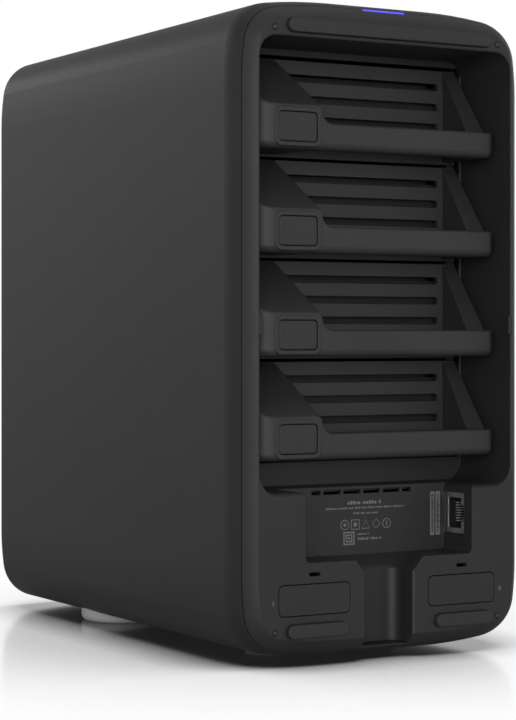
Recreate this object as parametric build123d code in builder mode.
"""Desktop network storage box: four drive trays over two SSD trays in one tall rounded housing.

X is the width, +Y runs from the bay face to the rear, +Z is up. The origin is under the middle of the box,
on the surface it stands on. Every depth is measured back from the flat of the bay face, in millimetres.
"""
import os
from math import cos, radians, sin, sqrt

from build123d import *

os.makedirs("parts", exist_ok=True)

# ---- Housing ---------------------------------------------------------------------------------------------
WIDTH = 129.0
HEIGHT = 248.5
DEPTH = 223.5
FOOT_HEIGHT = 2.0
PAD_PROUD = 2.0
FACE_Y = -(DEPTH - PAD_PROUD) / 2

CORNER_R = 17.5           # middle arc of each housing corner
CORNER_SIDE_R = 116.0     # long arc that eases into the sides
CORNER_TOP_R = 200.0      # long arc that eases into the top and bottom
CORNER_SWING = 7.7        # degrees taken by each long arc
EDGE_R = 16.5             # rounding of the front edge
EDGE_DEPTH = 13.4         # where that rounding meets the sides
REAR_EDGE_R = 2.5
WALL = 3.0
SEAM_BEZEL = 4.5          # rear edge of the bezel's band
SEAM_SHELL = 5.0          # front edge of the shell

# ---- Bay opening and lower face --------------------------------------------------------------------------
BAY_HALF_W = 56.7
BAY_LOW = 64.5
BAY_HIGH = 233.2
BAY_CORNER_R = 7.5
BAY_EDGE_R = 0.6
LEDGE_EDGE_R = 2.5
DUCT_DEPTH = 34.0
DUCT_WALL = 2.2
DUCT_FLANGE = 2.0
FLANGE_LOW = 73.6
FLANGE_HIGH = 230.7
FLANGE_HALF_W = 56.2

RECESS_HALF_W = 38.1
RECESS_LEFT = -37.2
RECESS_LOW = 38.2
RECESS_DEPTH = 19.5
RECESS_CORNER_R = 2.0
CHANNEL_HALF_W = 10.5
CHANNEL_DEPTH = 11.8
CHANNEL_LOW = 3.0
CHANNEL_EDGE_R = 1.2
CHANNEL_TOP = 33.1
CHANNEL_CORNER_R = 4.4
FUNNEL_FRONT_HALF_W = 15.2
FUNNEL_REAR_HALF_W = 20.0

# ---- Drive trays -----------------------------------------------------------------------------------------
BAY_PITCH = 39.0
BAY_BAR_TOPS = [202.7 - BAY_PITCH * n for n in range(4)]
TRAY_HALF_W = 54.8
BAR_DEPTH = 8.0
BAR_THICK = 7.0
BAR_HEIGHT = 10.1
BLOCK_TOP = 6.3
BLOCK_RIGHT = -24.6
PLATE_DEPTH = 35.6
PLATE_THICK = 2.4
PLATE_LOW = -11.1
PLATE_HIGH = 26.7
TRAY_SLOT_H = 2.9
TRAY_SLOT_PITCH = 8.06
TRAY_SLOT_FIRST = 19.95
BUTTON_X = -35.7
BUTTON_Z = -1.9
BUTTON_W = 16.6
BUTTON_H = 11.0
DRIVE = (101.6, 147.0, 26.1)
DRIVE_DEPTH = 40.0
DRIVE_LOW = -4.6

# ---- SSD trays -------------------------------------------------------------------------------------------
SSD_X = 33.2
SSD_DOOR = (30.7, 11.2)
SSD_DOOR_Z = 24.6
SSD_LENGTH = 80.0
SSD_WIDTH = 22.0


def depth_plane(depth):
    """Plane parallel to the bay face; a negative extrude from it goes deeper."""
    return Plane.XZ.offset(-(FACE_Y + depth))


def housing_outline(inset=0.0):
    """Housing outline, drawn in by inset. Each corner is three tangent arcs."""
    swing_sin, swing_cos = sin(radians(CORNER_SWING)), cos(radians(CORNER_SWING))
    side_r, middle_r, top_r = CORNER_SIDE_R - inset, CORNER_R - inset, CORNER_TOP_R - inset
    run_x = side_r * (1 - swing_cos) + middle_r * (swing_cos - swing_sin) + top_r * swing_sin
    run_z = side_r * swing_sin + middle_r * (swing_cos - swing_sin) + top_r * (1 - swing_cos)
    half, low, high = WIDTH / 2 - inset, FOOT_HEIGHT + inset, HEIGHT - inset
    to_side = ((top_r, CORNER_SWING), (middle_r, 90 - 2 * CORNER_SWING), (side_r, CORNER_SWING))
    corners = (to_side, to_side[::-1], to_side, to_side[::-1])
    line_ends = ((half - run_x, low), (half, high - run_z), (run_x - half, high), (-half, low + run_z))
    with BuildLine() as outline:
        start = Vector(run_x - half, low)
        for line_end, arcs in zip(line_ends, corners):
            edge = Line(start, line_end)
            for radius, size in arcs:
                edge = JernArc(start=edge @ 1, tangent=edge % 1, radius=radius, arc_size=size)
            start = edge @ 1
    make_face(outline.edges())


def bay_outline(spread, drop):
    """Bay opening, spread outwards at the sides and top and dropped further at the ledge."""
    half, low, high = BAY_HALF_W + spread, BAY_LOW - drop, BAY_HIGH + spread
    top_r, low_r = BAY_CORNER_R + spread, BAY_CORNER_R + drop
    with BuildLine() as outline:
        right = Line((half, low + low_r), (half, high - top_r))
        upper_right = JernArc(right @ 1, (0, 1), top_r, 90)
        top = Line(upper_right @ 1, (top_r - half, high))
        upper_left = JernArc(top @ 1, (-1, 0), top_r, 90)
        left = Line(upper_left @ 1, (-half, low + low_r))
        lower_left = JernArc(left @ 1, (0, -1), low_r, 90)
        bottom = Line(lower_left @ 1, (half - low_r, low))
        JernArc(bottom @ 1, (1, 0), low_r, 90)
    make_face(outline.edges())


def rounding(radius, depth):
    """How much wider an opening is at a depth behind an edge rounded to a radius."""
    return radius - sqrt(radius**2 - (radius - depth) ** 2) if depth < radius else 0.0


def rect_face(left, right, low, high):
    """Plain rectangle by its sides."""
    with Locations(((left + right) / 2, (low + high) / 2)):
        Rectangle(right - left, high - low)


def export(builder, name):
    """Label a finished piece and write its STEP file."""
    builder.part.label = name
    export_step(builder.part, f"parts/{name}.step")


# ---- Housing blank: the outer form that the shell, the bezel and the light share -------------------------
with BuildPart() as blank:
    with BuildSketch(depth_plane(EDGE_DEPTH - EDGE_R)):
        housing_outline()
    extrude(amount=-(DEPTH - EDGE_DEPTH + EDGE_R))
    fillet(blank.faces().sort_by(Axis.Y)[0].edges(), EDGE_R)
    fillet(blank.faces().sort_by(Axis.Y)[-1].edges(), REAR_EDGE_R)

REAR_PANEL_DEPTH = DEPTH - 3.6
REAR_PANEL_THICK = 2.2
REAR_LIP = 5.5
FOOT_EDGE_R = 2.6
# Each pair of feet: distance from the middle, y, radius.
FOOT_PAIRS = ((36.0, 44.0, 18.0), (22.0, -60.0, 11.0))

with BuildPart() as outer_shell:
    add(blank.part)
    split(bisect_by=depth_plane(SEAM_SHELL), keep=Keep.BOTTOM)
    with BuildSketch(depth_plane(SEAM_SHELL)):
        housing_outline(WALL)
    extrude(amount=-(REAR_PANEL_DEPTH - SEAM_SHELL), mode=Mode.SUBTRACT)
    with BuildSketch(depth_plane(REAR_PANEL_DEPTH - 1)):
        housing_outline(REAR_LIP)
    extrude(amount=-(DEPTH - REAR_PANEL_DEPTH + 2), mode=Mode.SUBTRACT)
export(outer_shell, "outer_shell")

with BuildPart() as feet:
    with BuildSketch(Plane.XY):
        for x, y, radius in FOOT_PAIRS:
            with Locations((-x, y), (x, y)):
                Circle(radius)
    extrude(amount=FOOT_HEIGHT * 4)
    fillet(feet.edges().group_by(Axis.Z)[0], FOOT_EDGE_R)
    add(blank.part, mode=Mode.SUBTRACT)
export(feet, "feet")

# ---- Bay bezel -------------------------------------------------------------------------------------------
SKIN = 2.6
LIP_INSET = WALL + 0.15
LIP_WALL = 1.8
LIP_DEPTH = 11.0
RECESS_WALL = 2.1
LIGHT_HALF_W = 9.4
LIGHT_FRONT = 3.75
LIGHT_DEEP = 3.0
PIN_R = 1.15
PIN_X = 50.4
PIN_ZS = (13.1, 236.1)
PAD_H = 5.3
PAD_TOP = (0.8, 237.3, 92.0)
PAD_LOW = (33.0, 13.2, 26.4)
PAD_SHIFT = 0.6
PAD_SEAT = 0.6
VENT_Z = 62.4
VENT_H = 1.6
VENT_LONG = 7.9
VENT_SHORT = 4.2
VENT_GAP = 1.15
SOCKET_X = 39.6
SOCKET_LENGTH = 19.0
SOCKET_DEPTHS = (5.6, 19.2)
SOCKET_ZS = (44.8, 61.0)
RELEASE_SLOT = (4.9, 1.4, 33.9)

BAY_EDGE_DEPTHS = (0.0, 0.1, 0.3, 0.6, 1.3, LEDGE_EDGE_R)
# Each section: height, half width at the face, half width at the back, depth, corner radius.
FUNNEL_SECTIONS = (
    (RECESS_LOW + 0.01, FUNNEL_FRONT_HALF_W, FUNNEL_REAR_HALF_W, RECESS_DEPTH, 5.0),
    (CHANNEL_TOP + 1.2, CHANNEL_HALF_W + 1.6, CHANNEL_HALF_W + 2.0, CHANNEL_DEPTH + 1.2, 4.6),
    (CHANNEL_TOP, CHANNEL_HALF_W, CHANNEL_HALF_W, CHANNEL_DEPTH, CHANNEL_CORNER_R),
)
CATCH_ZS = (123.1, 130.2)
CATCH_PLAN = ((0.8, 0), (-0.9, 0), (-0.9, 1.4), (0, 2.4), (0.8, 2.4))

with BuildPart() as bay_bezel:
    add(blank.part)
    split(bisect_by=depth_plane(SEAM_BEZEL), keep=Keep.TOP)
    split(bisect_by=depth_plane(0.0), keep=Keep.BOTTOM)
    with BuildSketch(depth_plane(SEAM_BEZEL - 1)):
        housing_outline(LIP_INSET)
    extrude(amount=-(LIP_DEPTH - SEAM_BEZEL + 1))
    with BuildSketch(depth_plane(SKIN)):
        housing_outline(LIP_INSET + LIP_WALL)
    extrude(amount=-(LIP_DEPTH - SKIN), mode=Mode.SUBTRACT)
    # Walls of the bay duct, the port recess and the cable channel.
    with BuildSketch(depth_plane(SKIN / 2)):
        with Locations((0, (BAY_LOW + BAY_HIGH) / 2)):
            RectangleRounded(
                2 * (BAY_HALF_W + DUCT_WALL), BAY_HIGH - BAY_LOW + 2 * DUCT_WALL, BAY_CORNER_R + DUCT_WALL
            )
    extrude(amount=-(DUCT_DEPTH + DUCT_FLANGE - SKIN / 2))
    with BuildSketch(depth_plane(SKIN / 2)):
        recess_out = RECESS_HALF_W + RECESS_WALL
        rect_face(-recess_out, recess_out, RECESS_LOW - RECESS_WALL, BAY_LOW)
        rect_face(-FUNNEL_REAR_HALF_W - 2, FUNNEL_REAR_HALF_W + 2, CHANNEL_TOP - 4, RECESS_LOW)
    extrude(amount=-(RECESS_DEPTH + RECESS_WALL - SKIN / 2))
    with BuildSketch(depth_plane(SKIN / 2)):
        channel_out = CHANNEL_HALF_W + RECESS_WALL
        rect_face(-channel_out, channel_out, FOOT_HEIGHT + LIP_INSET, CHANNEL_TOP)
    extrude(amount=-(CHANNEL_DEPTH + RECESS_WALL - SKIN / 2))
    add(blank.part, mode=Mode.INTERSECT)
    # Bay opening, rounded at its mouth, with the inner flange behind it.
    for depth in BAY_EDGE_DEPTHS:
        with BuildSketch(depth_plane(depth)):
            bay_outline(rounding(BAY_EDGE_R, depth), rounding(LEDGE_EDGE_R, depth))
    loft(ruled=True, mode=Mode.SUBTRACT)
    with BuildSketch(depth_plane(LEDGE_EDGE_R)):
        bay_outline(0, 0)
    extrude(amount=-(DUCT_DEPTH - LEDGE_EDGE_R), mode=Mode.SUBTRACT)
    with BuildSketch(depth_plane(DUCT_DEPTH)):
        with Locations((0, (FLANGE_LOW + FLANGE_HIGH) / 2)):
            RectangleRounded(2 * FLANGE_HALF_W, FLANGE_HIGH - FLANGE_LOW, 1.5)
    extrude(amount=-DUCT_FLANGE, mode=Mode.SUBTRACT)
    # Port recess, open into the bay over its whole width.
    with BuildSketch(depth_plane(0)):
        lip = RECESS_CORNER_R
        with BuildLine():
            floor = Line((RECESS_LEFT + lip, RECESS_LOW), (RECESS_HALF_W - lip, RECESS_LOW))
            corner = JernArc(floor @ 1, (1, 0), lip, 90)
            side = Line(corner @ 1, (RECESS_HALF_W, BAY_LOW - lip))
            flare = JernArc(side @ 1, (0, 1), lip, -90)
            top = Polyline(flare @ 1, (RECESS_HALF_W + lip, BAY_LOW + 1), (RECESS_LEFT - lip, BAY_LOW + 1),
                           (RECESS_LEFT - lip, BAY_LOW))
            flare_left = JernArc(top @ 1, (1, 0), lip, -90)
            side_left = Line(flare_left @ 1, (RECESS_LEFT, RECESS_LOW + lip))
            JernArc(side_left @ 1, (0, -1), lip, 90)
        make_face()
    extrude(amount=-RECESS_DEPTH, mode=Mode.SUBTRACT)
    # Funnel from the recess floor down to the cable channel.
    for z, front_half, rear_half, depth, radius in FUNNEL_SECTIONS:
        with BuildSketch(Plane.XY.offset(z)) as section:
            with BuildLine():
                Polyline(
                    (-front_half, FACE_Y), (front_half, FACE_Y),
                    (rear_half, FACE_Y + depth), (-rear_half, FACE_Y + depth), close=True,
                )
            make_face()
            fillet(section.vertices().group_by(Axis.Y)[-1], radius)
    loft(ruled=True, mode=Mode.SUBTRACT)
    with BuildSketch(Plane.XY.offset(CHANNEL_LOW)) as channel:
        with BuildLine():
            mouth = CHANNEL_HALF_W + CHANNEL_EDGE_R
            front = Polyline((-mouth, FACE_Y), (-mouth, FACE_Y - 1), (mouth, FACE_Y - 1), (mouth, FACE_Y))
            right_edge = JernArc(front @ 1, (-1, 0), CHANNEL_EDGE_R, -90)
            back = Polyline(
                right_edge @ 1, (CHANNEL_HALF_W, FACE_Y + CHANNEL_DEPTH),
                (-CHANNEL_HALF_W, FACE_Y + CHANNEL_DEPTH), (-CHANNEL_HALF_W, FACE_Y + CHANNEL_EDGE_R),
            )
            JernArc(back @ 1, (0, -1), CHANNEL_EDGE_R, -90)
        make_face()
        fillet(channel.vertices().group_by(Axis.Y)[-1], CHANNEL_CORNER_R)
    extrude(amount=CHANNEL_TOP - CHANNEL_LOW, mode=Mode.SUBTRACT)
    # Doors, release slots, pin holes and pad seats in the flat of the face.
    with BuildSketch(depth_plane(0)):
        for side in (-1, 1):
            with Locations((side * SSD_X, SSD_DOOR_Z)):
                RectangleRounded(SSD_DOOR[0] + 0.7, SSD_DOOR[1] + 0.7, 2.2)
            with Locations((side * SSD_X, RELEASE_SLOT[2])):
                RectangleRounded(RELEASE_SLOT[0], RELEASE_SLOT[1], 0.45)
            for z in PIN_ZS:
                with Locations((side * PIN_X, z)):
                    Circle(PIN_R)
    extrude(amount=-SKIN * 1.5, mode=Mode.SUBTRACT)
    with BuildSketch(depth_plane(0)):
        with Locations(PAD_TOP[:2]):
            SlotOverall(PAD_TOP[2], PAD_H)
        for side in (-1, 1):
            with Locations((side * PAD_LOW[0] + PAD_SHIFT, PAD_LOW[1])):
                SlotOverall(PAD_LOW[2], PAD_H)
    extrude(amount=-PAD_SEAT, mode=Mode.SUBTRACT)
    # Small catches for the front cover, on the edges of the bay.
    with BuildSketch(Plane.XY.offset(CATCH_ZS[0])):
        for side in (-1, 1):
            with BuildLine():
                Polyline(*[(side * (BAY_HALF_W + x), FACE_Y + depth) for x, depth in CATCH_PLAN], close=True)
            make_face()
    extrude(amount=CATCH_ZS[1] - CATCH_ZS[0])
    # Vent slots in the recess panel: two short ones outside four long ones.
    vent_widths = [VENT_SHORT] + [VENT_LONG] * 4 + [VENT_SHORT]
    with BuildSketch(depth_plane(RECESS_DEPTH - 1)):
        vent_left = -(sum(vent_widths) + VENT_GAP * (len(vent_widths) - 1)) / 2
        for vent_width in vent_widths:
            with Locations((vent_left + vent_width / 2, VENT_Z)):
                RectangleRounded(vent_width, VENT_H, 0.4)
            vent_left += vent_width + VENT_GAP
    extrude(amount=-(RECESS_WALL + 2), mode=Mode.SUBTRACT)
    # Window for the network socket in the right wall of the recess.
    with BuildSketch(Plane.YZ.offset(RECESS_HALF_W - 1)):
        window_low, window_high = SOCKET_ZS[0] - 0.3, SOCKET_ZS[1] + 0.3
        rect_face(FACE_Y + SOCKET_DEPTHS[0] - 0.3, FACE_Y + RECESS_DEPTH, window_low, window_high)
    extrude(amount=RECESS_WALL + 2, mode=Mode.SUBTRACT)
    # Seat for the status light in the top of the band.
    with BuildSketch(depth_plane(LIGHT_FRONT)):
        rect_face(-LIGHT_HALF_W, LIGHT_HALF_W, HEIGHT - LIGHT_DEEP - 3, HEIGHT)
    extrude(amount=-(SEAM_BEZEL - LIGHT_FRONT), mode=Mode.SUBTRACT)
export(bay_bezel, "bay_bezel")

# ---- Fittings on the face: light, pads, pins and bay marks -----------------------------------------------
with BuildPart() as status_light_bar:
    add(blank.part)
    with BuildSketch(depth_plane(LIGHT_FRONT + 0.05)):
        rect_face(-LIGHT_HALF_W + 0.05, LIGHT_HALF_W - 0.05, HEIGHT - LIGHT_DEEP, HEIGHT)
    extrude(amount=-(SEAM_SHELL - LIGHT_FRONT - 0.1), mode=Mode.INTERSECT)
export(status_light_bar, "status_light_bar")

with BuildPart() as status_light_board:
    with BuildSketch(depth_plane(6)):
        rect_face(-14, 14, HEIGHT - 7.0, HEIGHT - 6.0)
    extrude(amount=-16)
export(status_light_board, "status_light_board")

with BuildPart() as cover_pad_top:
    with BuildSketch(depth_plane(-PAD_PROUD)):
        with Locations(PAD_TOP[:2]):
            SlotOverall(PAD_TOP[2] - 0.2, PAD_H - 0.2)
    extrude(amount=-(PAD_PROUD + PAD_SEAT - 0.05))
    fillet(cover_pad_top.edges().group_by(Axis.Y)[0], 0.5)
export(cover_pad_top, "cover_pad_top")

with BuildPart() as cover_pads_lower:
    with BuildSketch(depth_plane(-PAD_PROUD)):
        for side in (-1, 1):
            with Locations((side * PAD_LOW[0] + PAD_SHIFT, PAD_LOW[1])):
                SlotOverall(PAD_LOW[2] - 0.2, PAD_H - 0.2)
    extrude(amount=-(PAD_PROUD + PAD_SEAT - 0.05))
    fillet(cover_pads_lower.edges().group_by(Axis.Y)[0], 0.5)
export(cover_pads_lower, "cover_pads_lower")

with BuildPart() as locating_pins:
    with BuildSketch(depth_plane(-0.6)):
        for side in (-1, 1):
            for z in PIN_ZS:
                with Locations((side * PIN_X, z)):
                    Circle(PIN_R - 0.05)
    extrude(amount=-4.0)
    fillet(locating_pins.edges().group_by(Axis.Y)[0], 0.8)
export(locating_pins, "locating_pins")

MARK_PROUD = 0.06

with BuildPart() as bay_marks:
    with BuildSketch(depth_plane(-MARK_PROUD)):
        for x in (-51.2, 50.9, 51.7):
            with Locations((x, 24.0)):
                Rectangle(0.4, 1.8)
    extrude(amount=-MARK_PROUD + 0.01)
export(bay_marks, "bay_marks")

# Print on the recess panel, drawn as plain bars and dashes: (centre x, centre z, width, height) each.
PANEL_BARS = [(1.8 + 5.6 * n, 58.1, 5.0, 1.5) for n in (-1, 0, 1)]
PANEL_BARS += [(-14.6 + 4.2 * n, 56.1, 3.5, 0.8) for n in range(9)]
PANEL_BARS += [(-2.6 + 4.2 * n, 54.0, 3.5, 0.8) for n in range(4)]
PANEL_BARS += [(-7.8 + 5.0 * n, 49.4, 3.8, 4.6) for n in range(5)]
PANEL_BARS += [(-6.3, 43.2, 4.8, 5.4), (0.2, 44.6, 6.0, 0.7), (3.0, 42.8, 12.0, 1.2)]
PORT_BARS = [(32.85, 52.5, 2.05, 17.2), (35.5, 52.5, 2.05, 17.2)]

for mark_name, bars in (("panel_marks", PANEL_BARS), ("port_marks", PORT_BARS)):
    with BuildPart() as marks:
        with BuildSketch(depth_plane(RECESS_DEPTH - MARK_PROUD)):
            for x, z, width, height in bars:
                with Locations((x, z)):
                    Rectangle(width, height)
        extrude(amount=-MARK_PROUD + 0.01)
    export(marks, mark_name)

# ---- Network socket, mouth facing into the recess from its right wall ------------------------------------
SHIELD_WALL = 0.3
CONTACT_PITCH = 1.016
SOCKET_MID_Z = sum(SOCKET_ZS) / 2
PORT_BOARD_DEPTH = 22.0



def socket_mouth(mode):
    """Stepped mouth of the socket: the plug's body, then its latch in two steps."""
    steps = ((9.4, 17.9, 5.95), (7.9, 9.4, 3.2), (6.9, 7.9, 1.8))
    for near, far, half in steps:
        with Locations((FACE_Y + (near + far) / 2, SOCKET_MID_Z)):
            Rectangle(far - near, 2 * half, mode=mode)


with BuildPart() as network_socket_shield:
    with BuildSketch(Plane.YZ.offset(SOCKET_X)):
        rect_face(FACE_Y + SOCKET_DEPTHS[0], FACE_Y + SOCKET_DEPTHS[1], *SOCKET_ZS)
    extrude(amount=SOCKET_LENGTH)
    with BuildSketch(Plane.YZ.offset(SOCKET_X - 0.1)):
        rect_face(
            FACE_Y + SOCKET_DEPTHS[0] + SHIELD_WALL, FACE_Y + SOCKET_DEPTHS[1] - SHIELD_WALL,
            SOCKET_ZS[0] + SHIELD_WALL, SOCKET_ZS[1] - SHIELD_WALL,
        )
    extrude(amount=SOCKET_LENGTH - SHIELD_WALL + 0.1, mode=Mode.SUBTRACT)
    with BuildSketch(Plane.YZ.offset(SOCKET_X)):
        rect_face(FACE_Y + SOCKET_DEPTHS[0], FACE_Y + SOCKET_DEPTHS[1], *SOCKET_ZS)
        socket_mouth(Mode.SUBTRACT)
    extrude(amount=SHIELD_WALL)
    with BuildSketch(depth_plane(SOCKET_DEPTHS[1])):
        for z in SOCKET_ZS:
            with Locations((SOCKET_X + 8, z + (0.5 if z == SOCKET_ZS[0] else -0.5))):
                Rectangle(1.6, 0.8)
    extrude(amount=-(PORT_BOARD_DEPTH - SOCKET_DEPTHS[1] - 0.05))
export(network_socket_shield, "network_socket_shield")

with BuildPart() as network_socket_insert:
    with BuildSketch(Plane.YZ.offset(SOCKET_X + SHIELD_WALL + 0.05)):
        rect_face(
            FACE_Y + SOCKET_DEPTHS[0] + SHIELD_WALL + 0.05, FACE_Y + SOCKET_DEPTHS[1] - SHIELD_WALL - 0.05,
            SOCKET_ZS[0] + SHIELD_WALL + 0.05, SOCKET_ZS[1] - SHIELD_WALL - 0.05,
        )
    extrude(amount=SOCKET_LENGTH - 2 * SHIELD_WALL - 0.1)
    with BuildSketch(Plane.YZ.offset(SOCKET_X)):
        socket_mouth(Mode.ADD)
    extrude(amount=13.0, mode=Mode.SUBTRACT)
export(network_socket_insert, "network_socket_insert")

with BuildPart() as network_socket_contacts:
    for n in range(8):
        with BuildSketch(Plane.XY.offset(SOCKET_MID_Z + CONTACT_PITCH * (n - 3.5) - 0.2)):
            with BuildLine():
                Polyline(
                    (SOCKET_X + 3.6, FACE_Y + 17.3), (SOCKET_X + 3.6, FACE_Y + 17.8),
                    (SOCKET_X + 11.8, FACE_Y + 15.0), (SOCKET_X + 11.8, FACE_Y + 14.5), close=True,
                )
            make_face()
        extrude(amount=0.45)
export(network_socket_contacts, "network_socket_contacts")

with BuildPart() as port_board:
    with BuildSketch(depth_plane(PORT_BOARD_DEPTH)):
        rect_face(24, 59, 40, 61.6)
    extrude(amount=-1.6)
export(port_board, "port_board")

# ---- Drive trays, each with its button, latch bolt and drive ---------------------------------------------
BLOCK_ROUND = 1.5
# Each arm's sections: depth, inner edge at the bottom and at the top, height over the bar.
LEFT_ARM = ((BAR_DEPTH, -26.1, -26.1, BLOCK_TOP), (PLATE_DEPTH, -28.6, -30.0, PLATE_HIGH - 0.2))
RIGHT_ARM = ((BAR_DEPTH + BAR_THICK, 46.4, 0.0), (PLATE_DEPTH, 48.7, PLATE_HIGH - 0.5))
LEFT_END_R = 10.0
RIGHT_END_R = 3.0
BAR_LOW_R = 2.8
BAR_TOP_R = 1.2
RING = (20.2, 14.4, 0.35)
RAIL_IN = 51.3
RAIL_ZS = (-10.6, -2.6)
POCKET_DEPTH = 22.6
LATCH_DEPTHS = (24.0, 30.5)
LATCH_ZS = (-4.4, 0.6)
LATCH_TIP = 0.8
BUTTON_LENGTH = 12.0
TAIL_X = (-44.2, -39.95)
DRIVE_BACK = DRIVE_DEPTH + DRIVE[1]

for n, bar_top in enumerate(BAY_BAR_TOPS, start=1):
    bar_low = bar_top - BAR_HEIGHT
    with BuildPart() as drive_tray:
        # Bar and raised block, one outline across the front.
        with BuildSketch(depth_plane(BAR_DEPTH)):
            with BuildLine():
                step_r = BLOCK_TOP - BLOCK_ROUND
                lower = Polyline((-TRAY_HALF_W, bar_top + BLOCK_TOP), (-TRAY_HALF_W, bar_low),
                                 (TRAY_HALF_W, bar_low), (TRAY_HALF_W, bar_top),
                                 (BLOCK_RIGHT + step_r, bar_top))
                step = JernArc(lower @ 1, (-1, 0), step_r, -90)
                crest = JernArc(step @ 1, (0, 1), BLOCK_ROUND, 90)
                Line(crest @ 1, lower @ 0)
            make_face()
        extrude(amount=-BAR_THICK)
        # Arms back to the plate: a broad solid one on the left, a slim one on the right.
        for depth, inner_low, inner_top, height in LEFT_ARM:
            with BuildSketch(depth_plane(depth)):
                with BuildLine():
                    Polyline((-TRAY_HALF_W, bar_low), (inner_low, bar_low), (inner_top, bar_top + height),
                             (-TRAY_HALF_W, bar_top + height), close=True)
                make_face()
        loft(ruled=True)
        for depth, inner, height in RIGHT_ARM:
            with BuildSketch(depth_plane(depth)):
                rect_face(inner, TRAY_HALF_W, bar_low, bar_top + height)
        loft(ruled=True)
        # Ends curved back in plan, then soft edges along the front.
        with BuildSketch(Plane.XY.offset(bar_low - 1)):
            with BuildLine():
                rear = FACE_Y + PLATE_DEPTH + 1
                left = Line((-TRAY_HALF_W, rear), (-TRAY_HALF_W, FACE_Y + BAR_DEPTH + LEFT_END_R))
                left_end = JernArc(left @ 1, (0, -1), LEFT_END_R, 90)
                front = Line(left_end @ 1, (TRAY_HALF_W - RIGHT_END_R, FACE_Y + BAR_DEPTH))
                right_end = JernArc(front @ 1, (1, 0), RIGHT_END_R, 90)
                Polyline(right_end @ 1, (TRAY_HALF_W, rear), left @ 0)
            make_face()
        extrude(amount=50, mode=Mode.INTERSECT)
        fronts = [face for face in drive_tray.faces() if face.bounding_box().min.Y < FACE_Y + BAR_DEPTH + 0.01
                  and abs(face.normal_at().Z) < 0.01]
        rim = [edge for face in fronts for edge in face.edges() if abs(edge.tangent_at(0.5).Z) < 0.9]
        fillet([edge for edge in rim if edge.center().Z < bar_low + 0.01], BAR_LOW_R)
        fronts = [face for face in drive_tray.faces() if face.bounding_box().min.Y < FACE_Y + BAR_DEPTH + 0.01
                  and abs(face.normal_at().Z) < 0.01]
        rim = [edge for face in fronts for edge in face.edges() if edge.center().Z > bar_top - 0.01]
        fillet(rim, BAR_TOP_R)
        # Vented plate.
        with BuildSketch(depth_plane(PLATE_DEPTH)):
            rect_face(-TRAY_HALF_W, TRAY_HALF_W, bar_top + PLATE_LOW, bar_top + PLATE_HIGH)
        extrude(amount=-PLATE_THICK)
        with BuildSketch(depth_plane(PLATE_DEPTH - 0.1)):
            for slot in range(4):
                with Locations((10.0, bar_top + TRAY_SLOT_FIRST - TRAY_SLOT_PITCH * slot)):
                    SlotOverall(73.6, TRAY_SLOT_H)
        extrude(amount=-PLATE_THICK - 0.2, mode=Mode.SUBTRACT)
        # Side rails and cross bars under the drive.
        with BuildSketch(depth_plane(PLATE_DEPTH + PLATE_THICK)):
            for left in (-TRAY_HALF_W, RAIL_IN):
                rect_face(left, left + TRAY_HALF_W - RAIL_IN, bar_top + RAIL_ZS[0], bar_top + RAIL_ZS[1])
        extrude(amount=-(DRIVE_BACK - PLATE_DEPTH - PLATE_THICK - 6))
        for depth in (58, 158):
            with BuildSketch(depth_plane(depth)):
                rect_face(-RAIL_IN, RAIL_IN, bar_top + DRIVE_LOW - 2.2, bar_top + DRIVE_LOW - 0.2)
            extrude(amount=-14)
        # Raised ring around the button, then the button and latch pockets.
        with BuildSketch(depth_plane(BAR_DEPTH - RING[2])):
            with Locations((BUTTON_X, bar_top + BUTTON_Z)):
                RectangleRounded(RING[0], RING[1], 3.0)
        extrude(amount=-RING[2] - 0.1, taper=-30)
        with BuildSketch(depth_plane(BAR_DEPTH - 1)):
            with Locations((BUTTON_X, bar_top + BUTTON_Z)):
                RectangleRounded(BUTTON_W + 0.5, BUTTON_H + 0.5, 1.8)
        extrude(amount=-(POCKET_DEPTH - BAR_DEPTH + 1), mode=Mode.SUBTRACT)
        with BuildSketch(Plane.XY.offset(bar_top + LATCH_ZS[0] - 0.3)):
            rect_face(-TRAY_HALF_W - 1, -35.0, FACE_Y + LATCH_DEPTHS[0] - 0.3, FACE_Y + LATCH_DEPTHS[1] + 0.3)
            rect_face(TAIL_X[0] - 0.3, TAIL_X[1] + 0.3, FACE_Y + POCKET_DEPTH - 1, FACE_Y + LATCH_DEPTHS[0])
        extrude(amount=LATCH_ZS[1] - LATCH_ZS[0] + 0.6, mode=Mode.SUBTRACT)
    export(drive_tray, f"drive_tray_{n}")

    with BuildPart() as tray_button:
        with BuildSketch(depth_plane(BAR_DEPTH - 0.2)):
            with Locations((BUTTON_X, bar_top + BUTTON_Z)):
                RectangleRounded(BUTTON_W, BUTTON_H, 1.6)
        extrude(amount=-BUTTON_LENGTH)
        fillet(tray_button.faces().sort_by(Axis.Y)[0].edges(), 0.5)
        with BuildSketch(Plane.XY.offset(bar_top + LATCH_ZS[0] + 0.4)):
            with BuildLine():
                Polyline(
                    (TAIL_X[0], FACE_Y + 19), (TAIL_X[1], FACE_Y + 19), (TAIL_X[1], FACE_Y + 24.0),
                    (-41.85, FACE_Y + 25.9), (TAIL_X[0], FACE_Y + 25.9), close=True,
                )
            make_face()
        extrude(amount=LATCH_ZS[1] - LATCH_ZS[0] - 0.8)
    export(tray_button, f"tray_button_{n}")

    with BuildPart() as tray_latch:
        with BuildSketch(Plane.XY.offset(bar_top + LATCH_ZS[0])):
            tip = -TRAY_HALF_W - LATCH_TIP
            near, far = FACE_Y + LATCH_DEPTHS[0], FACE_Y + LATCH_DEPTHS[1]
            with BuildLine():
                Polyline(
                    (tip, near + 2.2), (tip + 1.5, near), (-47.0, near), (-47.0, near + 4.5),
                    (-44.0, near + 4.5), (-39.5, near), (-37.5, near), (-37.5, far), (tip, far), close=True,
                )
            make_face()
        extrude(amount=LATCH_ZS[1] - LATCH_ZS[0])
    export(tray_latch, f"tray_latch_{n}")

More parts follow.
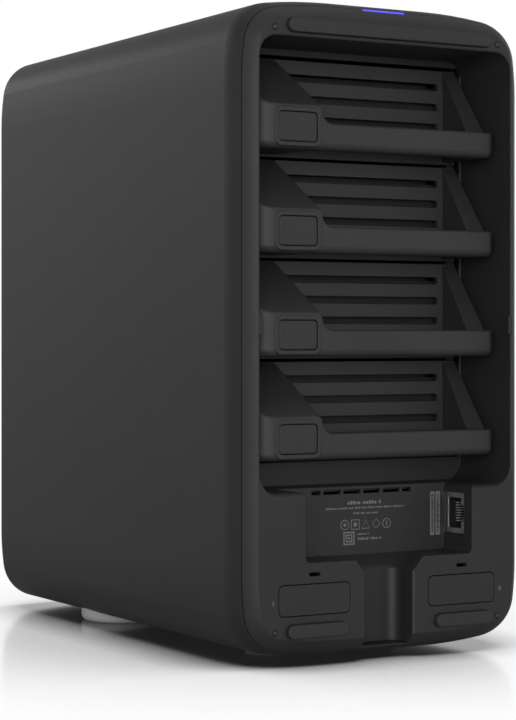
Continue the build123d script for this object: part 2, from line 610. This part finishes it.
    with BuildPart() as hard_drive:
        with BuildSketch(Plane.XY.offset(bar_top + DRIVE_LOW)):
            with Locations((0, FACE_Y + DRIVE_DEPTH + DRIVE[1] / 2)):
                RectangleRounded(DRIVE[0], DRIVE[1], 2.0)
        extrude(amount=DRIVE[2] - 1.6)
        with BuildSketch(Plane.XY.offset(bar_top + DRIVE_LOW + DRIVE[2] - 1.6)):
            with Locations((0, FACE_Y + DRIVE_DEPTH + DRIVE[1] / 2)):
                RectangleRounded(DRIVE[0] - 4, DRIVE[1] - 4, 6.0)
                with Locations((-18, 34), (28, -40)):
                    Circle(9, mode=Mode.SUBTRACT)
        extrude(amount=1.6)
        with BuildSketch(depth_plane(DRIVE_BACK + 0.1)):
            rect_face(-20, 22, bar_top + DRIVE_LOW + 1.2, bar_top + DRIVE_LOW + 5.6)
        extrude(amount=5.1, mode=Mode.SUBTRACT)
    export(hard_drive, f"hard_drive_{n}")

# ---- Cage, rails and backplane ---------------------------------------------------------------------------
CAGE_HALF_W = 56.7
CAGE_ZS = (71.6, 234.0)
CAGE_DEPTHS = (38.6, 187.6)
CAGE_SHEET = 1.4
POST_DEPTHS = (104.0, 176.0)
POST_X = 50.0
BACKPLANE_DEPTH = 190.0

with BuildPart() as cage_side_plates:
    with BuildSketch(depth_plane(CAGE_DEPTHS[0])):
        rect_face(-CAGE_HALF_W, CAGE_SHEET - CAGE_HALF_W, *CAGE_ZS)
        rect_face(CAGE_HALF_W - CAGE_SHEET, CAGE_HALF_W, *CAGE_ZS)
    extrude(amount=-(CAGE_DEPTHS[1] - CAGE_DEPTHS[0]))
export(cage_side_plates, "cage_side_plates")

with BuildPart() as cage_cross_plates:
    with BuildSketch(depth_plane(CAGE_DEPTHS[0])):
        inside = CAGE_HALF_W - CAGE_SHEET - 0.02
        rect_face(-inside, inside, CAGE_ZS[0], CAGE_ZS[0] + CAGE_SHEET)
        rect_face(-inside, inside, CAGE_ZS[1] - CAGE_SHEET, CAGE_ZS[1])
    extrude(amount=-(CAGE_DEPTHS[1] - CAGE_DEPTHS[0]))
    with BuildSketch(Plane.XY.offset(CAGE_ZS[0] - 1)):
        with Locations((0, FACE_Y + 112)):
            with GridLocations(24, 30, 4, 4):
                RectangleRounded(16, 18, 3)
    extrude(amount=CAGE_ZS[1] - CAGE_ZS[0] + 2, mode=Mode.SUBTRACT)
export(cage_cross_plates, "cage_cross_plates")

with BuildPart() as drive_rails:
    with BuildSketch(depth_plane(CAGE_DEPTHS[0])):
        wall_x = CAGE_HALF_W - CAGE_SHEET - 0.02
        for bar_top in BAY_BAR_TOPS:
            for side in (-1, 1):
                with BuildLine():
                    low, high = bar_top + RAIL_ZS[0] - 0.3, bar_top + RAIL_ZS[1] + 0.3
                    points = [(53.0, low - 1.2), (wall_x, low - 1.2), (wall_x, high + 1.2), (53.0, high + 1.2),
                              (53.0, high), (wall_x - 0.2, high), (wall_x - 0.2, low), (53.0, low)]
                    Polyline(*[(side * x, z) for x, z in points], close=True)
                make_face()
    extrude(amount=-(CAGE_DEPTHS[1] - CAGE_DEPTHS[0] - 4))
export(drive_rails, "drive_rails")

with BuildPart() as cage_posts:
    with BuildSketch(Plane.XY.offset(9.0)):
        with Locations(*[(x, FACE_Y + depth) for x in (-POST_X, POST_X) for depth in POST_DEPTHS]):
            Circle(3.0)
    extrude(amount=CAGE_ZS[0] - 9.0 - 0.02)
export(cage_posts, "cage_posts")

with BuildPart() as backplane_board:
    with BuildSketch(depth_plane(BACKPLANE_DEPTH)):
        rect_face(-54, 54, 74, 232)
        for bar_top in BAY_BAR_TOPS:
            for x in (-30, 32):
                with Locations((x, bar_top + 8)):
                    RectangleRounded(30, 14, 3, mode=Mode.SUBTRACT)
    extrude(amount=-1.6)
export(backplane_board, "backplane_board")

with BuildPart() as sata_connectors:
    with BuildSketch(depth_plane(DRIVE_BACK + 0.3)):
        for bar_top in BAY_BAR_TOPS:
            rect_face(-19, 21, bar_top + DRIVE_LOW + 1.0, bar_top + DRIVE_LOW + 5.4)
    extrude(amount=-(BACKPLANE_DEPTH - DRIVE_BACK - 0.32))
export(sata_connectors, "sata_connectors")

# ---- SSD trays -------------------------------------------------------------------------------------------
DOOR_THICK = 2.2
SSD_TRAY_W = 24.4
SSD_TRAY_ZS = (19.6, 21.2)
SSD_TRAY_LENGTH = 88.0
GUIDE_DEPTHS = (5.0, 86.4)

for n, side in enumerate((-1, 1), start=1):
    with BuildPart() as ssd_tray:
        with BuildSketch(depth_plane(0)):
            with Locations((side * SSD_X, SSD_DOOR_Z)):
                RectangleRounded(SSD_DOOR[0], SSD_DOOR[1], 1.9)
        extrude(amount=-DOOR_THICK)
        with BuildSketch(depth_plane(DOOR_THICK)):
            middle = side * SSD_X
            half = SSD_TRAY_W / 2
            rect_face(middle - half, middle + half, *SSD_TRAY_ZS)
            rect_face(middle - half, middle - half + 1, SSD_TRAY_ZS[0], SSD_TRAY_ZS[1] + 1.6)
            rect_face(middle + half - 1, middle + half, SSD_TRAY_ZS[0], SSD_TRAY_ZS[1] + 1.6)
        extrude(amount=-(SSD_TRAY_LENGTH - DOOR_THICK))
    export(ssd_tray, f"ssd_tray_{n}")

    with BuildPart() as ssd_board:
        with BuildSketch(Plane.XY.offset(SSD_TRAY_ZS[1] + 0.02)):
            with Locations((side * SSD_X, FACE_Y + 6 + SSD_LENGTH / 2)):
                Rectangle(SSD_WIDTH, SSD_LENGTH)
                with Locations((0, -SSD_LENGTH / 2)):
                    Circle(1.8, mode=Mode.SUBTRACT)
        extrude(amount=0.8)
        with BuildSketch(Plane.XY.offset(SSD_TRAY_ZS[1] + 0.82)):
            with Locations(*[(side * SSD_X, FACE_Y + depth) for depth in (26, 44, 66)]):
                Rectangle(13.5, 14)
        extrude(amount=1.2)
    export(ssd_board, f"ssd_board_{n}")

with BuildPart() as ssd_guides:
    with BuildSketch(depth_plane(GUIDE_DEPTHS[0])):
        for side in (-1, 1):
            for way in (-1, 1):
                with BuildLine():
                    edge = SSD_TRAY_W / 2
                    points = [(edge - 1.5, 17.6), (edge + 1.9, 17.6), (edge + 1.9, 26.6), (edge - 0.6, 26.6),
                              (edge - 0.6, 25.4), (edge + 0.4, 25.4), (edge + 0.4, 19.2), (edge - 1.5, 19.2)]
                    Polyline(*[(side * SSD_X + way * x, z) for x, z in points], close=True)
                make_face()
    extrude(amount=-(GUIDE_DEPTHS[1] - GUIDE_DEPTHS[0]))
export(ssd_guides, "ssd_guides")

with BuildPart() as m2_connectors:
    with BuildSketch(Plane.XY.offset(SSD_TRAY_ZS[0])):
        for side in (-1, 1):
            with Locations((side * SSD_X, FACE_Y + SSD_TRAY_LENGTH + 3.4)):
                Rectangle(21.8, 6)
    extrude(amount=4.5)
export(m2_connectors, "m2_connectors")

# ---- Mainboard -------------------------------------------------------------------------------------------
BOARD_Z = 17.6
BOARD_TOP = BOARD_Z + 1.6

with BuildPart() as mainboard:
    with BuildSketch(Plane.XY.offset(BOARD_Z)):
        with Locations((0, FACE_Y + 138.5)):
            Rectangle(90, 103)
    extrude(amount=1.6)
export(mainboard, "mainboard")

with BuildPart() as board_standoffs:
    with BuildSketch(Plane.XY.offset(6.6)):
        with Locations(*[(x, FACE_Y + depth) for x in (-41, 41) for depth in (94, 184)]):
            Circle(2.6)
    extrude(amount=BOARD_Z - 6.62)
export(board_standoffs, "board_standoffs")

CHIPS = [(-24, 100, 14, 10, 1.6), (8, 100, 12, 8, 1.6), (-32, 130, 11, 13, 1.4), (-32, 150, 11, 13, 1.4),
         (31, 124, 9, 20, 6.5), (31, 150, 9, 24, 6.5), (-20, 178, 18, 12, 9.0), (14, 178, 22, 9, 9.0)]

with BuildPart() as mainboard_chips:
    for x, depth, width, length, height in CHIPS:
        with BuildSketch(Plane.XY.offset(BOARD_TOP + 0.02)):
            with Locations((x, FACE_Y + depth)):
                Rectangle(width, length)
        extrude(amount=height)
export(mainboard_chips, "mainboard_chips")

with BuildPart() as processor_heatsink:
    with BuildSketch(Plane.XY.offset(BOARD_TOP + 0.02)):
        with Locations((0, FACE_Y + 138)):
            Rectangle(44, 44)
    extrude(amount=4)
    with BuildSketch(Plane.XY.offset(BOARD_TOP + 4.02)):
        with Locations((0, FACE_Y + 138)):
            with GridLocations(4.2, 1, 11, 1):
                Rectangle(1.4, 44)
    extrude(amount=13)
export(processor_heatsink, "processor_heatsink")

# ---- Power board and inlet -------------------------------------------------------------------------------
POWER_Z = 44.0
INLET = (-32.0, 36.0)
INLET_BODY = (27.0, 19.6)
INLET_MOUTH = (24.0, 16.6)
REAR_INNER = REAR_PANEL_DEPTH - 0.1 - REAR_PANEL_THICK

with BuildPart() as power_board:
    with BuildSketch(Plane.XY.offset(POWER_Z)):
        with Locations((22, FACE_Y + 140)):
            Rectangle(46, 64)
    extrude(amount=1.6)
    with BuildSketch(Plane.XY.offset(POWER_Z + 1.6)):
        with Locations(*[(x, FACE_Y + depth) for x in (2.5, 41.5) for depth in (112, 168)]):
            Circle(2.2)
    extrude(amount=CAGE_ZS[0] - POWER_Z - 1.62)
export(power_board, "power_board")

# Each block on the power board: x, depth, width, length, height.
POWER_BLOCKS = ((14, 128, 20, 18, 15), (34, 130, 9, 22, 18), (16, 152, 16, 12, 12))

with BuildPart() as power_components:
    for x, depth, width, length, height in POWER_BLOCKS:
        with BuildSketch(Plane.XY.offset(POWER_Z + 1.62)):
            with Locations((x, FACE_Y + depth)):
                Rectangle(width, length)
        extrude(amount=height)
    with BuildSketch(Plane.XY.offset(POWER_Z + 1.62)):
        with Locations(*[(x, FACE_Y + 154) for x in (31, 39)]):
            Circle(3.6)
    extrude(amount=18)
export(power_components, "power_components")

with BuildPart() as power_inlet:
    with BuildSketch(depth_plane(REAR_INNER - 20)):
        with Locations(INLET):
            RectangleRounded(INLET_BODY[0] - 0.4, INLET_BODY[1] - 0.4, 2.0)
    extrude(amount=-(20 + REAR_PANEL_THICK + 1.0))
    with BuildSketch(depth_plane(REAR_INNER - 14)):
        with Locations(INLET):
            RectangleRounded(*INLET_MOUTH, 3.0)
    extrude(amount=-(14 + REAR_PANEL_THICK + 1.0), mode=Mode.SUBTRACT)
    with BuildSketch(depth_plane(REAR_INNER - 14)):
        for dx, dz in ((-7, -2), (7, -2), (0, 2.5)):
            with Locations((INLET[0] + dx, INLET[1] + dz)):
                Rectangle(2.0, 4.0)
    extrude(amount=-12)
export(power_inlet, "power_inlet")

# ---- Fan -------------------------------------------------------------------------------------------------
FAN_SIZE = 120.0
FAN_THICK = 25.0
FAN_Z = 154.0
FAN_DEPTH = REAR_INNER - FAN_THICK - 0.1
FAN_BORE_R = 58.2
FAN_HOLES = 105.0
ROTOR_R = 57.0
HUB_R = 20.0
SHAFT_R = 1.5

with BuildPart() as fan_frame:
    with BuildSketch(depth_plane(FAN_DEPTH)):
        with Locations((0, FAN_Z)):
            RectangleRounded(FAN_SIZE - 4, FAN_SIZE, 6)
            Circle(FAN_BORE_R - 0.6, mode=Mode.SUBTRACT)
            with GridLocations(FAN_HOLES, FAN_HOLES, 2, 2):
                Circle(2.2, mode=Mode.SUBTRACT)
    extrude(amount=-FAN_THICK)
    with BuildSketch(depth_plane(FAN_DEPTH + FAN_THICK - 3)):
        with Locations((0, FAN_Z)):
            Circle(HUB_R - 0.5)
            for turn in (45, 135):
                Rectangle(4.5, 2 * FAN_BORE_R, rotation=turn)
    extrude(amount=-3)
    with BuildSketch(depth_plane(FAN_DEPTH + 6)):
        with Locations((0, FAN_Z)):
            Circle(SHAFT_R)
    extrude(amount=-(FAN_THICK - 7))
export(fan_frame, "fan_frame")

with BuildPart(depth_plane(FAN_DEPTH + FAN_THICK / 2 - 1.5)) as fan_rotor:
    with Locations((0, FAN_Z)):
        with PolarLocations(37.5, 7):
            Box(41, 24, 1.8, rotation=(38, 0, 0))
    with BuildSketch(depth_plane(FAN_DEPTH + 2)):
        with Locations((0, FAN_Z)):
            Circle(ROTOR_R)
    extrude(amount=-(FAN_THICK - 6), mode=Mode.INTERSECT)
    with BuildSketch(depth_plane(FAN_DEPTH + 2)):
        with Locations((0, FAN_Z)):
            Circle(HUB_R)
    extrude(amount=-(FAN_THICK - 5.5))
    with BuildSketch(depth_plane(FAN_DEPTH + 4)):
        with Locations((0, FAN_Z)):
            Circle(SHAFT_R + 0.06)
    extrude(amount=-(FAN_THICK - 4), mode=Mode.SUBTRACT)
export(fan_rotor, "fan_rotor")

# ---- Rear panel and its screws ---------------------------------------------------------------------------
GRILLE_R = 55.0
GRILLE_PITCH = 7.2
GRILLE_SLOT_H = 3.6
SCREW_R = 1.6
SCREW_HEAD_R = 3.0
PANEL_SCREWS = [(x, z) for x in (-47, 47) for z in (16, 78)] + [(0, 240)]
FAN_SCREWS = [(x * FAN_HOLES / 2, FAN_Z + z * FAN_HOLES / 2) for x in (-1, 1) for z in (-1, 1)]

with BuildPart() as rear_panel:
    with BuildSketch(depth_plane(REAR_INNER)):
        housing_outline(WALL + 0.15)
    extrude(amount=-REAR_PANEL_THICK)
    with BuildSketch(depth_plane(REAR_INNER - 1)):
        for row in range(-7, 8):
            offset = row * GRILLE_PITCH
            reach = sqrt(GRILLE_R**2 - offset**2) if abs(offset) < GRILLE_R else 0
            for way in (-1, 1):
                if reach > 10:
                    with Locations((way * (reach / 2 + 1.2), FAN_Z + offset)):
                        SlotOverall(reach - 2.4, GRILLE_SLOT_H)
        with Locations(INLET):
            RectangleRounded(*INLET_BODY, 2.2)
        with Locations((14, 36)):
            with GridLocations(13, 6.5, 4, 4):
                SlotOverall(10, 2.8)
        with Locations(*PANEL_SCREWS, *FAN_SCREWS):
            Circle(SCREW_R + 0.1)
    extrude(amount=-REAR_PANEL_THICK - 2, mode=Mode.SUBTRACT)
export(rear_panel, "rear_panel")

with BuildPart() as panel_screws:
    with BuildSketch(depth_plane(REAR_INNER - 5)):
        with Locations(*PANEL_SCREWS, *FAN_SCREWS):
            Circle(SCREW_R)
    extrude(amount=-(REAR_PANEL_THICK + 5.5))
    with BuildSketch(depth_plane(REAR_INNER + REAR_PANEL_THICK + 0.02)):
        with Locations(*PANEL_SCREWS, *FAN_SCREWS):
            Circle(SCREW_HEAD_R)
    extrude(amount=-1.6)
    fillet(panel_screws.edges().group_by(Axis.Y)[-1], 0.8)
    with BuildSketch(depth_plane(REAR_INNER + REAR_PANEL_THICK + 0.7)):
        with Locations(*PANEL_SCREWS, *FAN_SCREWS):
            Rectangle(3.2, 0.7)
            Rectangle(0.7, 3.2)
    extrude(amount=-2, mode=Mode.SUBTRACT)
export(panel_screws, "panel_screws")
